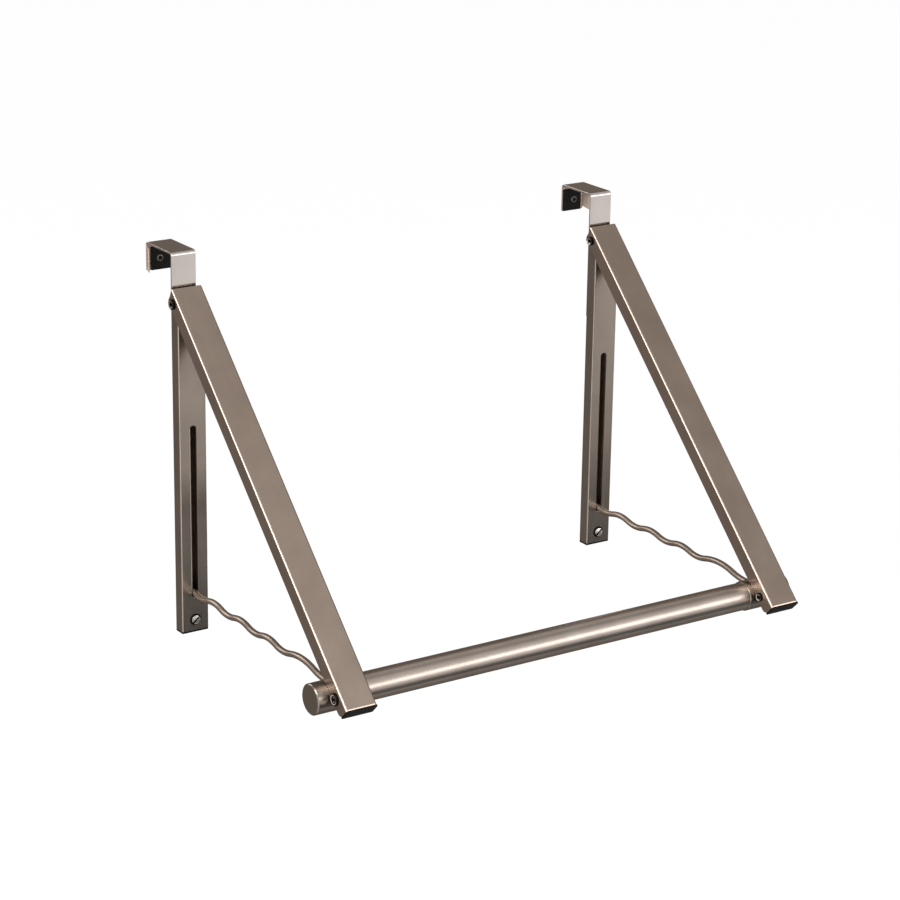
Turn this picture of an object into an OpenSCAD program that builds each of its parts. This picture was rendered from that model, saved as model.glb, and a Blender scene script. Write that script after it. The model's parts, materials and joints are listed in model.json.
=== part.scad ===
// Over-the-door clothing rack. Two brackets hang on the top edge of a door. Each has an upright
// against the door and an arm that swings out from it, held by a wavy brace whose inner end
// slides in the upright's slot. One rod joins the lower ends of the arms.
// Frame: the origin is on the door's front top edge, midway between the brackets. X runs along
// the rod, +Y goes into the door, -Y is the room and +Z is up.

/* [Rack] */
// Distance between the centrelines of the two brackets
bracket_pitch = 447; // [300:1:700]
// Angle between an open arm and the vertical
open_angle = 45.4; // [45:0.1:46]
// Angle between a folded arm and the vertical
folded_angle = 4.4; // [4.2:0.1:5]

/* [Hook] */
// Width of the flat strap
strap_width = 24; // [20:0.5:26]
// Thickness of the strap
strap_thickness = 2; // [1.6:0.1:2.4]
// Gap for the door between the front leg and the rear flange
door_gap = 43.4; // [36:0.2:60]
// Height of the rear flange, from the top of the hook
flange_height = 26; // [20:0.5:60]
// Length of the front leg below the top of the door
leg_length = 118; // [112:1:140]
// Inner radius of the strap's bends
strap_bend = 1.2; // [0.6:0.1:2.5]

/* [Hook wing] */
// Width of the side wing that is bent forwards from the rear flange
wing_width = 10; // [5:0.5:12]
// Flare of the wing, outwards from square
wing_flare = 16; // [5:1:25]
// Thickness of the wing
wing_thickness = 1.4; // [1:0.1:1.8]
// Gap between the underside of the hook's top and the wing
wing_drop = 2.4; // [2.1:0.1:6]
// Rise of the wing's lower edge towards the flange
wing_rise = 3; // [0:0.5:5]

/* [Pads] */
// Thickness of the pad on the rear flange
hook_pad_thickness = 1.8; // [1:0.1:3]
// Width of that pad
hook_pad_width = 20.5; // [14:0.5:21]
// Gap between the top of the pad and the underside of the hook's top
hook_pad_drop = 3; // [2.5:0.1:6]
// Diameter of the ring head on the pad's rivet
pad_rivet_head = 6.5; // [5:0.1:9]
// Diameter of the pad rivet's shank
pad_rivet_shank = 3; // [2:0.1:4]
// Width of the rubber pad between the upright and the door
door_pad_width = 22; // [14:0.5:26]
// Height of that pad
door_pad_height = 26; // [12:0.5:28]

/* [Upright] */
// Width of the rectangular tube
upright_width = 26.6; // [26.2:0.1:30]
// Depth of the tube, from front to back
upright_depth = 12.6; // [12.4:0.1:13]
// Wall of the tube
upright_wall = 1.2; // [0.8:0.1:1.4]
// Radius of the tube's outer corners
upright_corner = 1.2; // [0.6:0.1:2]
// Depth of the tube's lower end below the top of the door
upright_drop = 345.7; // [344:0.5:370]
// Height of the tube's front top edge above the pivot
upright_top_rise = 2; // [1.2:0.1:2.6]
// Height of the tube's back top edge above the pivot
upright_back_rise = 11.2; // [8:0.1:12]
// Width of the slot in the front wall
slot_width = 6.5; // [6.4:0.1:9]

/* [Upright fastenings] */
// Diameter of the rivets between the strap and the tube
strap_rivet_shank = 4; // [3:0.1:5]
// Diameter of the rivets' heads inside the tube
strap_rivet_head = 7; // [6:0.1:9]
// Height of the rivets' heads inside the tube
strap_rivet_height = 1.4; // [0.8:0.1:2.5]
// Distance of the upper rivet below the pivot
strap_rivet_drop = 31; // [20:1:34]
// Distance between the two rivets
strap_rivet_pitch = 35; // [20:1:36]
// Distance of the plug's screw above the tube's lower end
plug_screw_rise = 10.2; // [8:0.1:11]
// Diameter of the plug screw's head
plug_screw_head = 11; // [7:0.1:13]
// Height of the plug screw's head
plug_screw_height = 1.8; // [1:0.1:3]
// Diameter of the plug screw's shank
plug_screw_shank = 4; // [3:0.1:5]

/* [Upright plug] */
// Length of the plug inside the tube
upright_plug_length = 20; // [16:0.5:24]
// Thickness of the plug's rim below the tube
upright_plug_rim = 1.6; // [0.8:0.1:4]

/* [Pivot] */
// Depth of the pivot below the top of the door
pivot_drop = 42.2; // [40:0.1:44]
// Distance of the pivot behind the upright's front face
pivot_inset = 6.6; // [6.4:0.1:6.8]
// Diameter of the pivot bolt and of the brace bolt
bolt_diameter = 5; // [4:0.1:6]
// Diameter of the pivot bolt's head
pivot_head = 9.6; // [8:0.1:13]
// Height of the bolt heads and nuts
bolt_head_height = 1.9; // [1.5:0.1:4]
// Diameter of the pivot nut
pivot_nut_size = 8.6; // [8:0.1:12]
// Width across the flats of the sockets in the bolts and nuts
hex_socket = 3; // [2:0.1:4]
// Outer diameter of the bush inside the tube
bush_diameter = 8; // [7:0.1:9]
// Diameter of the washers between the upright and the arm
washer_diameter = 11; // [9:0.1:12]
// Thickness of those washers
washer_thickness = 0.4; // [0.3:0.05:1]

/* [Arm] */
// Length of the arm's channel
arm_length = 410.4; // [409:0.1:412]
// Depth of the channel, from front to back
arm_depth = 14.3; // [13.8:0.1:15]
// Wall of the channel
arm_wall = 1.2; // [0.8:0.1:1.4]
// Outer radius of the channel's two bends
arm_corner = 1.8; // [1.5:0.1:3]
// Distance of the pivot below the arm's top end
arm_pivot_drop = 10.6; // [9.6:0.1:11]
// Radius of the side walls behind the pivot
arm_top_radius = 7.6; // [6.8:0.1:7.7]
// Radius of the side walls' lower back corner
arm_end_radius = 5; // [3:0.5:6]

/* [Brace] */
// Diameter of the brace's wire
wire_diameter = 5.6; // [5:0.1:5.8]
// Length of one full wave
wave_length = 48; // [44:0.5:52]
// Height of a wave above or below the middle line
wave_rise = 1.7; // [1:0.1:2]
// Bend radius at the turned end, on the wire's centreline
hook_bend = 4; // [3.6:0.1:4.4]
// Sideways reach of the turned end from the middle of the slot
hook_reach = 7; // [6:0.1:8]
// Distance of the brace bolt above the arm's lower end
pin_rise = 15.9; // [15:0.1:17]
// Distance of the brace bolt behind the arm's front face
pin_depth = 10; // [9.8:0.1:10.4]
// Diameter of the flattened eye
eye_diameter = 16.6; // [14:0.1:16.8]
// Thickness of the flattened eye
eye_thickness = 5; // [4:0.1:5.6]
// Diameter of the brace bolt's head
brace_head = 11.5; // [9:0.1:12]
// Diameter of the brace nut
brace_nut_size = 8.2; // [7.6:0.1:11]

/* [Rod] */
// Diameter of the rod
rod_diameter = 25.4; // [22:0.1:26]
// Wall of the rod
rod_wall = 1.2; // [0.8:0.1:2]
// Diameter of the fittings at the rod's ends
fitting_diameter = 27.3; // [27.2:0.1:28.4]
// Reach of a fitting from the bracket's centreline outwards
fitting_outer = 26.8; // [20:0.1:40]
// Reach of a fitting from the bracket's centreline inwards
fitting_inner = 19.7; // [17:0.1:30]
// Chamfer on a fitting's ends
fitting_chamfer = 1; // [0.4:0.1:2]
// Distance of the rod's axis above the arm's lower end
rod_rise = 26.6; // [26:0.1:28]
// Depth to which a fitting is let into the arm's side walls
fitting_seat = 0.75; // [0.4:0.05:1]
// Thickness of the fitting's wall between its notch and the end of the rod
fitting_web = 1.5; // [1:0.1:3]

/* [Rod end screws] */
// Distance of the screws from the bracket's centreline
rod_screw_offset = 9; // [8:0.1:10]
// Diameter of the screws' shanks
rod_screw_shank = 4; // [3:0.1:5]
// Diameter of the screws' heads
rod_screw_head = 7; // [6:0.1:8]
// Height of the screws' heads
rod_screw_height = 2.4; // [1.5:0.1:3]
// Length of the screws in the end block
rod_screw_bite = 9; // [5:0.5:10]

/* [End block] */
// Length of the block inside the arm
block_length = 42.4; // [40:0.1:60]
// Thickness of the flange's rim below the arm
block_rim = 0.6; // [0.4:0.1:2]
// Thickness of the flange's bevelled cap
block_cap = 0.8; // [0.6:0.1:3]
// Height and depth of the fine groove between rim and cap
block_groove = 0.3; // [0.2:0.1:0.6]
// Bevel of the cap
block_bevel = 0.5; // [0.4:0.1:1.8]

/* [Clearances] */
// Radial clearance between a bolt and what turns on it
running_clearance = 0.06; // [0.03:0.01:0.1]
// Radial clearance between a fastener or plug and a fixed hole
fixing_clearance = 0.1; // [0.05:0.01:0.15]
// Clearance between an arm and the washers at its side
side_clearance = 0.1; // [0.05:0.05:0.3]
// Clearance between the arm's web and the upright's top edge as the arm swings
web_clearance = 0.4; // [0.3:0.1:1]
// Clearance between a bolt head and the moving side wall under it
head_clearance = 0.3; // [0.2:0.1:0.5]
// Clearance between the brace and the pieces that it slides or swings past
brace_clearance = 0.35; // [0.3:0.05:0.4]
// Clearance below the brace's wave at the lower end of the slot
dip_clearance = 1.6; // [1.3:0.1:3]

/* [Hidden] */
$fn = 64;

// How far a cut runs past the face that it opens
overrun = 1;
// Share of a bolt nut's height that the bolt's shank fills
thread_share = 0.7;
// Share of a socket's depth in the head's height
socket_share = 0.5;
// Length of the last, longer wave as a share of the others
long_wave_share = 5 / 3;
// Number of short half waves in a brace
half_waves = 7;
// Share of the arm's top radius at which the slanted top edge runs into the round
top_join_share = 0.95;
// Turn of the slit in the plug screws
slit_angle = 45;
// Sides of the wire and steps in its arcs
wire_sides = 16;
wave_steps = 6;
bend_steps = 8;

bolt_radius = bolt_diameter / 2;
wire_radius = wire_diameter / 2;
rod_radius = rod_diameter / 2;
fitting_radius = fitting_diameter / 2;
eye_radius = eye_diameter / 2;
arm_inside = upright_width + 2 * (washer_thickness + side_clearance);
arm_width = arm_inside + 2 * arm_wall;
upright_inside = upright_width - 2 * upright_wall;

// Faces of the upright, front to back
upright_back = -strap_thickness;
upright_front = upright_back - upright_depth;
upright_bottom = -upright_drop;
pivot_place = [upright_front + pivot_inset, -pivot_drop];

// Arm, in its own frame: the origin is the pivot, +Y is its back and -Z its lower end
pivot_depth = norm([pivot_inset, upright_top_rise]) + web_clearance + arm_wall;
arm_front = -pivot_depth;
arm_back = arm_depth - pivot_depth;
arm_top = arm_pivot_drop;
arm_end = arm_pivot_drop - arm_length;
pin_local = [pin_depth - pivot_depth, arm_end + pin_rise];
rod_local = [arm_back + fitting_radius - fitting_seat, arm_end + rod_rise];

// A point of the arm's frame, in the rack's frame, with the arm at an angle to the vertical
function at_angle(point, angle) = pivot_place + [
    point.x * cos(angle) + point.y * sin(angle),
    point.y * cos(angle) - point.x * sin(angle)];

// Waves of the brace: arcs that meet in one tangent line
half_wave = wave_length / 2;
wave_radius = (half_wave * half_wave / 4 + wave_rise * wave_rise) / (2 * wave_rise);
wave_angle = asin(half_wave / 2 / wave_radius);
long_rise = wave_rise * long_wave_share;
long_half = half_wave * long_wave_share;
long_radius = wave_radius * long_wave_share;

// Brace at rest: its eye, the middle line of its waves and its turned end
pin_place = at_angle(pin_local, open_angle);
wave_level = pin_place.y + long_rise;
slide_y = upright_front + upright_wall + wire_radius + brace_clearance;
slide_z = wave_level + hook_bend * sin(wave_angle);
wave_start = slide_y - hook_bend * cos(wave_angle);
wave_end = wave_start - half_waves * half_wave;
straight_start = wave_end - long_half * 3 / 2;

// Turned end when the arm is folded, from the brace's fixed length
brace_reach = norm([slide_y - pin_place.x, slide_z - pin_place.y]);
folded_pin = at_angle(pin_local, folded_angle);
folded_rise = sqrt(pow(brace_reach, 2) - pow(slide_y - folded_pin.x, 2));
slot_top = folded_pin.y + folded_rise + wire_radius + brace_clearance;
slot_bottom = slide_z - hook_bend * sin(wave_angle) - wire_radius - dip_clearance;

// Colours
bronze = "#8a7a6b";
pale_steel = "#c9c2bc";
dark_bronze = "#5f554c";
black = "#1c1c1c";
zinc = "#9a938b";

// Places children at one bracket: side is -1 for the left one and 1 for the right one
module at_bracket(side) {
    translate([side * bracket_pitch / 2, 0, 0]) children();
}

// As at_bracket, with +X turned away from the rack's middle
module outward(side) {
    at_bracket(side) mirror([side < 0 ? 1 : 0, 0, 0]) children();
}

// Places children in the open arm's frame
module in_arm() {
    translate([0, pivot_place.x, pivot_place.y]) rotate([-open_angle, 0, 0]) children();
}

// Extrudes an outline of the Y-Z plane along X, about the middle
module across(width) {
    rotate([90, 0, 90]) linear_extrude(width, center = true) children();
}

// A round bar along X from one place to another
module bar(radius, from, to) {
    translate([from, 0, 0]) rotate([0, 90, 0]) cylinder(h = to - from, r = radius);
}

// A round bar along Y
module bar_back(radius, from, to) {
    translate([0, from, 0]) rotate([-90, 0, 0]) cylinder(h = to - from, r = radius);
}

// A rectangle with round corners, about the middle
module round_rectangle(size, radius) {
    square([size.x - 2 * radius, size.y], center = true);
    square([size.x, size.y - 2 * radius], center = true);
    for (x = [-1, 1])
        for (y = [-1, 1])
            translate([x * (size.x / 2 - radius), y * (size.y / 2 - radius)]) circle(radius);
}

// A quarter of a bent strap about its bend's centre, towards +Z and the given side of Y
module strap_corner(side) {
    outer = strap_bend + strap_thickness;
    intersection() {
        difference() {
            circle(outer);
            circle(strap_bend);
        }
        translate([side < 0 ? -outer : 0, 0]) square(outer);
    }
}

module strap_profile() {
    translate([-strap_thickness, -leg_length]) square([strap_thickness, leg_length - strap_bend]);
    translate([strap_bend, 0]) square([door_gap - 2 * strap_bend, strap_thickness]);
    translate([door_gap, strap_thickness - flange_height])
        square([strap_thickness, flange_height - strap_thickness - strap_bend]);
    translate([strap_bend, -strap_bend]) strap_corner(-1);
    translate([door_gap - strap_bend, -strap_bend]) strap_corner(1);
}

pad_middle = (strap_thickness - flange_height - hook_pad_drop) / 2;
flange_bottom = strap_thickness - flange_height;
rivet_places = [for (i = [0, 1]) -pivot_drop - strap_rivet_drop - i * strap_rivet_pitch];
pad_rivet_height = hook_pad_thickness / 2;

module hook(side) {
    color(pale_steel) difference() {
        union() {
            at_bracket(side) across(strap_width) strap_profile();
            outward(side) wing();
        }
        at_bracket(side) {
            translate([0, 0, pad_middle])
                bar_back(pad_rivet_shank / 2 + fixing_clearance, door_gap - overrun,
                    door_gap + strap_thickness + overrun);
            for (z = rivet_places)
                translate([0, 0, z]) rivet_body(fixing_clearance);
        }
    }
}

module wing() {
    translate([strap_width / 2, door_gap + strap_thickness, 0])
        rotate([90, 0, wing_flare - 90])
            linear_extrude(wing_thickness)
                polygon([[0, -wing_drop], [wing_width, -wing_drop], [wing_width, flange_bottom],
                    [0, flange_bottom + wing_rise]]);
}

// The pad starts at the flange's inner edge and stops short of the wing
module hook_pad(side) {
    color(black) outward(side) difference() {
        translate([-strap_width / 2, door_gap - hook_pad_thickness, flange_bottom])
            cube([hook_pad_width, hook_pad_thickness, flange_height - strap_thickness - hook_pad_drop]);
        translate([0, 0, pad_middle])
            bar_back(pad_rivet_shank / 2 + fixing_clearance, door_gap - hook_pad_thickness - overrun,
                door_gap + overrun);
    }
}

// Ring head on the pad and a flat head behind the flange
module hook_pad_rivet(side) {
    pad_front = door_gap - hook_pad_thickness;
    flange_back = door_gap + strap_thickness;
    color(zinc) at_bracket(side) translate([0, 0, pad_middle]) difference() {
        union() {
            bar_back(pad_rivet_head / 2, pad_front - pad_rivet_height, pad_front);
            bar_back(pad_rivet_shank / 2, pad_front - pad_rivet_height / 2,
                flange_back + pad_rivet_height / 2);
            bar_back(pad_rivet_head / 2, flange_back, flange_back + pad_rivet_height);
        }
        bar_back(pad_rivet_shank / 2, pad_front - pad_rivet_height - overrun,
            pad_front - pad_rivet_height / 2);
    }
}

// A rivet through the strap and the upright's back wall, flush on the door's side
module rivet_body(grow) {
    flush = strap_rivet_shank / 2 + strap_thickness / 2;
    translate([0, -strap_thickness / 2, 0]) rotate([-90, 0, 0])
        cylinder(h = strap_thickness / 2, r1 = strap_rivet_shank / 2 + grow, r2 = flush + grow);
    bar_back(strap_rivet_shank / 2 + grow, upright_back - upright_wall - strap_rivet_height / 2,
        -strap_thickness / 4);
}

module strap_rivets(side) {
    inside = upright_back - upright_wall;
    color(zinc) at_bracket(side)
        for (z = rivet_places)
            translate([0, 0, z]) {
                rivet_body(0);
                bar_back(strap_rivet_head / 2, inside - strap_rivet_height, inside);
            }
}

upright_middle = (upright_front + upright_back) / 2;
upright_top = -pivot_drop + upright_back_rise;
plug_screw_z = upright_bottom + plug_screw_rise;

// The tube's front top edge is cut back on the slant of the open arm
module upright(side) {
    color(bronze) at_bracket(side) difference() {
        translate([0, upright_middle, upright_bottom]) linear_extrude(upright_top - upright_bottom)
            difference() {
                round_rectangle([upright_width, upright_depth], upright_corner);
                square([upright_inside, upright_depth - 2 * upright_wall], center = true);
            }
        translate([0, upright_front, -pivot_drop + upright_top_rise]) rotate([90 - open_angle, 0, 0])
            translate([-upright_width, -upright_depth, 0])
                cube([2 * upright_width, 4 * upright_depth, 2 * upright_depth]);
        translate([0, upright_front, 0]) slot_cut();
        translate([0, upright_back, 0]) window_cut();
        translate([0, pivot_place.x, pivot_place.y])
            bar(bolt_radius + fixing_clearance, -upright_width, upright_width);
        translate([0, 0, plug_screw_z])
            bar_back(plug_screw_shank / 2 + fixing_clearance, upright_front - overrun,
                upright_front + upright_wall + overrun);
        for (z = rivet_places)
            translate([0, 0, z])
                bar_back(strap_rivet_shank / 2 + fixing_clearance, upright_back - upright_wall - overrun,
                    upright_back + overrun);
    }
}

module slot_cut() {
    slot_height = slot_top - slot_bottom;
    translate([0, -overrun, (slot_top + slot_bottom) / 2]) rotate([-90, 0, 0])
        linear_extrude(upright_wall + 2 * overrun) {
            square([slot_width, slot_height - slot_width], center = true);
            for (y = [-1, 1])
                translate([0, y * (slot_height - slot_width) / 2]) circle(slot_width / 2);
        }
}

// Opening in the back wall that clears the brace's turned end between its two end places
module window_cut() {
    window_left = -hook_reach - brace_clearance;
    window_right = slot_width / 2;
    translate([window_left, -upright_wall - overrun, slot_bottom])
        cube([window_right - window_left, upright_wall + 2 * overrun, slot_top - slot_bottom]);
}

module upright_plug(side) {
    plug_size = [upright_inside, upright_depth - 2 * upright_wall] - 2 * fixing_clearance * [1, 1];
    color(black) at_bracket(side) difference() {
        translate([0, upright_middle, upright_bottom]) {
            translate([-plug_size.x / 2, -plug_size.y / 2, -upright_plug_rim / 2])
                cube([plug_size.x, plug_size.y, upright_plug_rim / 2 + upright_plug_length]);
            translate([0, 0, -upright_plug_rim]) linear_extrude(upright_plug_rim)
                round_rectangle([upright_width, upright_depth], upright_corner);
        }
        translate([0, 0, plug_screw_z])
            bar_back(plug_screw_shank / 2 + fixing_clearance, upright_front,
                upright_back - upright_wall - overrun);
    }
}

// Slotted cheese head on the front wall, its shank in the plug
module upright_screw(side) {
    slit = plug_screw_head / 8;
    color(zinc) at_bracket(side) translate([0, 0, plug_screw_z]) difference() {
        union() {
            bar_back(plug_screw_head / 2, upright_front - plug_screw_height, upright_front);
            bar_back(plug_screw_shank / 2, upright_front - plug_screw_height / 4,
                upright_back - upright_wall - 2 * overrun);
        }
        translate([0, upright_front - plug_screw_height, 0]) rotate([0, slit_angle, 0])
            cube([slit, plug_screw_height, plug_screw_head * 2], center = true);
    }
}

module door_pad(side) {
    color(black) at_bracket(side)
        translate([-door_pad_width / 2, upright_back, upright_bottom])
            cube([door_pad_width, strap_thickness, door_pad_height]);
}

// A cheese head or nut with a hexagon socket, from a face outwards along X
module socket_head(diameter, face) {
    socket_depth = bolt_head_height * socket_share;
    difference() {
        bar(diameter / 2, face, face + bolt_head_height);
        translate([face + bolt_head_height - socket_depth, 0, 0]) rotate([0, 90, 0])
            cylinder(h = socket_depth + overrun, d = hex_socket / cos(30), $fn = 6);
    }
}

// A bolt across the bracket: its head on the outer side, its shank ending in the nut
module bolt(diameter, face) {
    head_floor = bolt_head_height * (1 - socket_share);
    socket_head(diameter, face);
    bar(bolt_radius, -face - head_floor * thread_share, face + head_floor / 2);
}

// The nut on the inner side, bored for the shank
module nut(diameter, face) {
    bore_depth = bolt_head_height * (1 - socket_share) * thread_share;
    difference() {
        mirror([1, 0, 0]) socket_head(diameter, face);
        bar(bolt_radius + fixing_clearance, -face - bore_depth, 0);
    }
}

pivot_face = arm_width / 2 + head_clearance;

module pivot_bolt(side) {
    color(dark_bronze) outward(side) translate([0, pivot_place.x, pivot_place.y])
        bolt(pivot_head, pivot_face);
}

module pivot_nut(side) {
    color(dark_bronze) outward(side) translate([0, pivot_place.x, pivot_place.y])
        nut(pivot_nut_size, pivot_face);
}

module pivot_bush(side) {
    half_bush = upright_inside / 2 - fixing_clearance;
    color(zinc) at_bracket(side) translate([0, pivot_place.x, pivot_place.y]) difference() {
        bar(bush_diameter / 2, -half_bush, half_bush);
        bar(bolt_radius + running_clearance, -upright_width, upright_width);
    }
}

module pivot_washers(side) {
    color(zinc) at_bracket(side) translate([0, pivot_place.x, pivot_place.y]) difference() {
        for (x = [-1, 1])
            translate([x * (upright_width + washer_thickness) / 2, 0, 0])
                bar(washer_diameter / 2, -washer_thickness / 2, washer_thickness / 2);
        bar(bolt_radius + running_clearance, -arm_width, arm_width);
    }
}

// Side view of the arm: square at the front, round behind the pivot and at the lower back
module arm_outline() {
    translate([arm_front, arm_end + arm_end_radius]) square([arm_depth, -arm_end - arm_end_radius]);
    translate([arm_front, arm_end]) square([arm_depth - arm_end_radius, 2 * arm_end_radius]);
    translate([arm_back - arm_end_radius, arm_end + arm_end_radius]) circle(arm_end_radius);
    intersection() {
        circle(arm_top_radius);
        translate([arm_front, -arm_depth]) square([arm_depth, arm_depth + arm_top]);
    }
    polygon([[0, -arm_depth], [0, arm_top_radius * top_join_share], [arm_front, arm_top],
        [arm_front, -arm_depth]]);
}

// Section of the channel: X across, Y from the round front corners to the open back
module channel(width, depth, radius) {
    translate([-width / 2, radius]) square([width, depth - radius]);
    translate([-width / 2 + radius, 0]) square([width - 2 * radius, depth]);
    for (x = [-1, 1])
        translate([x * (width / 2 - radius), radius]) circle(radius);
}

module arm(side) {
    color(bronze) at_bracket(side) in_arm() difference() {
        intersection() {
            across(arm_width) arm_outline();
            translate([0, arm_front, arm_end]) linear_extrude(arm_length) difference() {
                channel(arm_width, arm_depth, arm_corner);
                translate([0, arm_wall])
                    channel(arm_inside, arm_depth, arm_corner - arm_wall);
            }
        }
        bar(bolt_radius + running_clearance, -arm_width, arm_width);
        at_pin() bar(bolt_radius + fixing_clearance, -arm_width, arm_width);
        at_rod() bar(fitting_radius + fixing_clearance, -arm_width, arm_width);
    }
}

module at_pin() {
    translate([0, pin_local.x, pin_local.y]) children();
}

module at_rod() {
    translate([0, rod_local.x, rod_local.y]) children();
}

block_width = arm_inside - 2 * fixing_clearance;
block_front = arm_front + arm_wall + fixing_clearance;
block_reach = arm_depth - arm_end_radius / 2;

// Two cheeks beside the brace's eye, joined below it, and the flange that closes the arm
module end_block(side) {
    color(black) at_bracket(side) in_arm() difference() {
        union() {
            intersection() {
                across(block_width) arm_outline();
                translate([0, block_front, arm_end]) linear_extrude(block_length)
                    channel(block_width, arm_back - block_front, arm_corner - arm_wall);
            }
            block_flange();
        }
        at_pin() {
            bar(bolt_radius + fixing_clearance, -arm_width, arm_width);
            bar(eye_radius + brace_clearance, -slot_width / 2, slot_width / 2);
            translate([-slot_width / 2, -arm_depth, 0]) cube([slot_width, 2 * arm_depth, block_length]);
        }
        at_rod() {
            bar(fitting_radius + fixing_clearance, -arm_width, arm_width);
            for (x = [-1, 1])
                translate([x * rod_screw_offset, 0, 0])
                    bar_back(rod_screw_shank / 2 + fixing_clearance,
                        arm_back - rod_local.x - rod_screw_bite - overrun, 0);
        }
    }
}

// Rim, fine groove and bevelled cap, from the arm's end downwards
module block_flange() {
    groove_top = -block_rim;
    cap_top = groove_top - block_groove;
    translate([0, arm_front, arm_end]) {
        translate([-arm_width / 2, 0, groove_top]) cube([arm_width, block_reach, block_rim]);
        translate([-arm_width / 2 + block_groove, block_groove, cap_top])
            cube([arm_width - 2 * block_groove, block_reach - 2 * block_groove, block_groove]);
        translate([0, block_reach / 2, cap_top]) intersection() {
            rotate([90, 0, 0]) linear_extrude(block_reach, center = true) cap_section(arm_width);
            rotate([90, 0, 90]) linear_extrude(arm_width, center = true) cap_section(block_reach);
        }
    }
}

module cap_section(width) {
    polygon([[-width / 2, 0], [width / 2, 0], [width / 2 - block_bevel, -block_cap],
        [-width / 2 + block_bevel, -block_cap]]);
}

// Places along an arc of the wire in the Y-Z plane. Each is a point, the wire's direction there
// and the direction square to both the wire and X.
function arc_places(centre, radius, from, to, steps) = [for (k = [1:steps])
    let (angle = from + (to - from) * k / steps, turn = to > from ? 1 : -1)
    [[0, centre.x + radius * cos(angle), centre.y + radius * sin(angle)],
        turn * [0, -sin(angle), cos(angle)], turn * [0, -cos(angle), -sin(angle)]]];

// The short half waves, low and high in turn, from the slot towards the room
function wave_places() = [for (i = [0:half_waves - 1])
    let (up = i % 2 == 0 ? -1 : 1)
    each arc_places([wave_start - (i + 0.5) * half_wave, wave_level + up * (wave_rise - wave_radius)],
        wave_radius, up * 90 - up * wave_angle, up * 90 + up * wave_angle, wave_steps)];

// The longer last wave, then the straight stretch into the eye
function tail_places() = concat(
    arc_places([wave_end - long_half / 2, pin_place.y + 2 * long_rise - long_radius], long_radius,
        90 - wave_angle, 90 + wave_angle, wave_steps),
    arc_places([straight_start, pin_place.y + long_radius], long_radius, wave_angle - 90, -90,
        wave_steps),
    [[[0, pin_place.x + eye_radius - eye_thickness / 2, pin_place.y], [0, -1, 0], [0, 0, -1]]]);

// The short leg along -X behind the slot's edge, and the quarter bend out of it
function turned_places() =
    let (out = [0, -cos(wave_angle), -sin(wave_angle)], up = [0, sin(wave_angle), -cos(wave_angle)],
        bend = [-hook_bend, slide_y, slide_z] + hook_bend * out)
    concat([[[-hook_reach, slide_y, slide_z], [1, 0, 0], up]],
        [for (k = [0:bend_steps])
            let (angle = 90 * k / bend_steps)
            [bend + hook_bend * [sin(angle), 0, 0] - hook_bend * cos(angle) * out,
                [cos(angle), 0, 0] + sin(angle) * out, up]]);

// A round wire through the places
module wire(places) {
    rings = len(places);
    points = [for (place = places)
        let (side = cross(place[2], place[1]))
        for (j = [0:wire_sides - 1])
            let (angle = 360 * j / wire_sides)
            place[0] + wire_radius * (cos(angle) * side + sin(angle) * place[2])];
    walls = [for (i = [0:rings - 2])
        for (j = [0:wire_sides - 1])
            let (a = i * wire_sides + j, b = i * wire_sides + (j + 1) % wire_sides)
            each [[b, a, b + wire_sides], [b + wire_sides, a, a + wire_sides]]];
    first = [for (j = [0:wire_sides - 1]) j];
    last = [for (j = [wire_sides - 1:-1:0]) (rings - 1) * wire_sides + j];
    polyhedron(points, concat([first], walls, [last]));
}

// Wavy wire with a turned end behind the slot and a flattened eye on the brace bolt
module brace(side) {
    color(bronze) at_bracket(side) {
        wire(concat(turned_places(), wave_places(), tail_places()));
        translate([0, pin_place.x, pin_place.y]) difference() {
            bar(eye_radius, -eye_thickness / 2, eye_thickness / 2);
            bar(bolt_radius + running_clearance, -arm_width, arm_width);
        }
    }
}

brace_face = arm_width / 2;

module brace_bolt(side) {
    color(dark_bronze) outward(side) in_arm() at_pin() bolt(brace_head, brace_face);
}

module brace_nut(side) {
    color(dark_bronze) outward(side) in_arm() at_pin() nut(brace_nut_size, brace_face);
}

rod_stop = slot_width / 2 + fitting_web;
rod_half = bracket_pitch / 2 - rod_stop - fixing_clearance;

module rod() {
    color(bronze) in_arm() at_rod() difference() {
        bar(rod_radius, -rod_half, rod_half);
        bar(rod_radius - rod_wall, -rod_half - overrun, rod_half + overrun);
        for (x = [-1, 1])
            translate([x * (bracket_pitch / 2 - rod_screw_offset), 0, 0])
                bar_back(rod_screw_shank / 2 + fixing_clearance, -rod_diameter, rod_diameter);
    }
}

// Closed outside, bored for the rod inside, notched in the middle for the open brace
module rod_end(side) {
    color(bronze) outward(side) in_arm() difference() {
        at_rod() {
            bar(fitting_radius, -fitting_inner + fitting_chamfer, fitting_outer - fitting_chamfer);
            chamfer_ring(fitting_outer - fitting_chamfer, fitting_radius,
                fitting_radius - fitting_chamfer);
            chamfer_ring(-fitting_inner, fitting_radius - fitting_chamfer / 2, fitting_radius);
        }
        at_rod() {
            bar(rod_radius + fixing_clearance, -fitting_inner - overrun, -rod_stop);
            for (x = [-1, 1])
                translate([x * rod_screw_offset, 0, 0]) {
                    bar_back(rod_screw_shank / 2 + fixing_clearance, -fitting_diameter, fitting_diameter);
                    bar_back(rod_screw_head / 2 + fixing_clearance, screw_seat, fitting_diameter);
                }
        }
        at_pin() {
            bar(eye_radius + brace_clearance, -slot_width / 2, slot_width / 2);
            rotate([open_angle, 0, 0])
                translate([-slot_width / 2, 0, -wire_radius - brace_clearance])
                    cube([slot_width, fitting_diameter * 2, fitting_diameter * 2]);
        }
    }
}

// A fitting's end: a cone between two radii, one chamfer long
module chamfer_ring(from, radius_from, radius_to) {
    translate([from, 0, 0]) rotate([0, 90, 0])
        cylinder(h = fitting_chamfer, r1 = radius_from, r2 = radius_to);
}

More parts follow.
